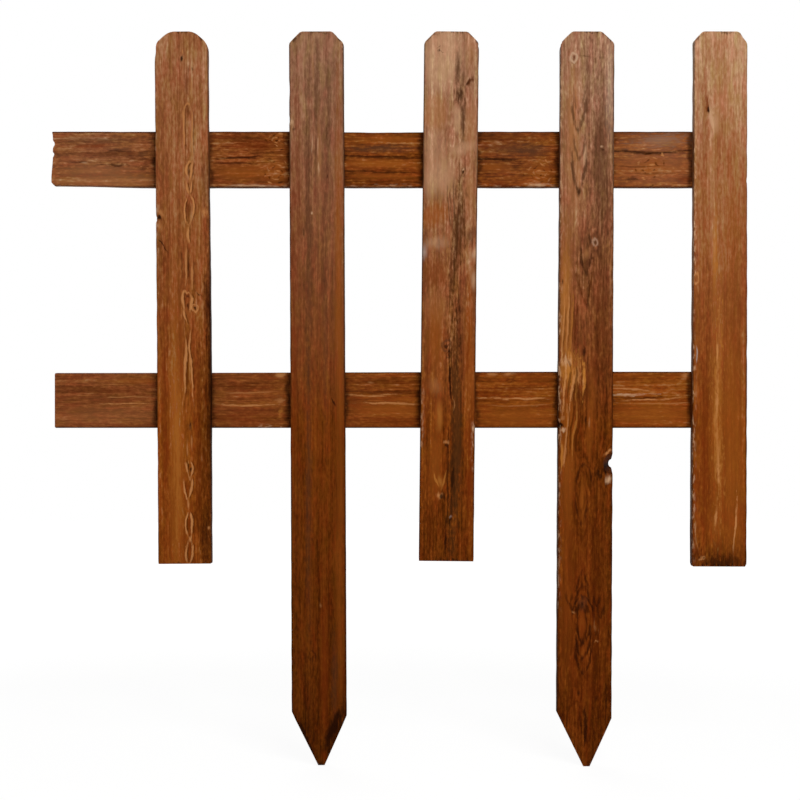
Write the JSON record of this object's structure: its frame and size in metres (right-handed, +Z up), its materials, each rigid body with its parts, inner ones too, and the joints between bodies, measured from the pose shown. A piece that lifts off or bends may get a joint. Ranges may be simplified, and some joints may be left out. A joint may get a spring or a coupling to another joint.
{
  "type": "garden fence panel",
  "caption": "Low garden fence panel of stained softwood: pickets with clipped heads nailed over horizontal rails, some of them running down into pointed stakes that are driven into soil.",
  "frame": {"origin": "centre of the left stake's blunt tip, which goes into the ground first", "axes": "+X along the fence, to the right as seen from the front; +Y from the pickets' fronts to the rails' backs; +Z up"},
  "size_m": [0.7139, 0.03, 0.7501],
  "materials": {
    "stained_softwood": "planed softwood, scorched and stained reddish brown, satin"
  },
  "bodies": {
    "root": {"left_picket": "stained_softwood", "left_stake": "stained_softwood", "middle_picket": "stained_softwood", "right_stake": "stained_softwood", "right_picket": "stained_softwood", "upper_rail": "stained_softwood", "lower_rail": "stained_softwood"}
  },
  "joints": []
}
